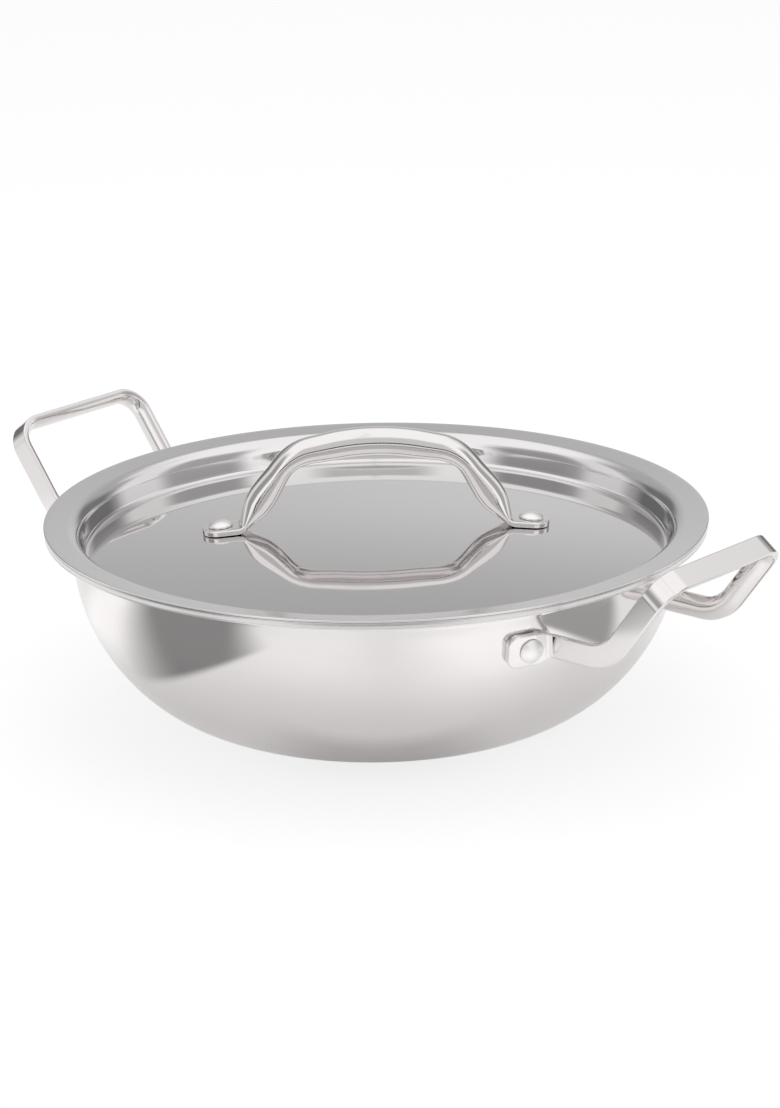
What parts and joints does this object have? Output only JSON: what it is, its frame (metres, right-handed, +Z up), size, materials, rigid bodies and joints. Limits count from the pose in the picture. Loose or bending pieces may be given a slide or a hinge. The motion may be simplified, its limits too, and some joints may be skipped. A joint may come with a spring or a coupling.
{
  "type": "kadai",
  "caption": "Round-bellied stainless steel kadai with a flared rim, loop side handles and a sunken lid with a bridge handle.",
  "frame": {"origin": "centre of the flat base, on the surface that the kadai stands on", "axes": "+Z up, +X through the middle of the right side handle; the lid handle lies 43.4 degrees from +X towards +Y, as the lid lies in the picture"},
  "size_m": [0.3352, 0.2541, 0.1122],
  "materials": {
    "polished_steel_outside": "mirror-polished stainless steel",
    "aluminium_core": "bare aluminium, showing only at the rim's edge",
    "satin_steel_inside": "satin stainless steel with a turned grain",
    "polished_steel_handles": "polished stainless steel",
    "steel_rivets": "bright stainless steel",
    "polished_steel_lid": "mirror-polished stainless steel with a turned grain"
  },
  "bodies": {
    "pan": {"bowl_outer_layer": "polished_steel_outside", "bowl_core": "aluminium_core", "bowl_inner_layer": "satin_steel_inside", "right_handle": "polished_steel_handles", "left_handle": "polished_steel_handles", "right_handle_front_rivet": "steel_rivets", "right_handle_rear_rivet": "steel_rivets", "left_handle_front_rivet": "steel_rivets", "left_handle_rear_rivet": "steel_rivets"},
    "lid": {"lid": "polished_steel_lid", "lid_handle": "polished_steel_handles", "lid_right_rivet": "steel_rivets", "lid_left_rivet": "steel_rivets"}
  },
  "joints": [
    {"name": "lid_lift", "type": "slide", "parent": "pan", "child": "lid", "axis": [0, 0, 1], "range_m": [0, 0.12]}
  ]
}
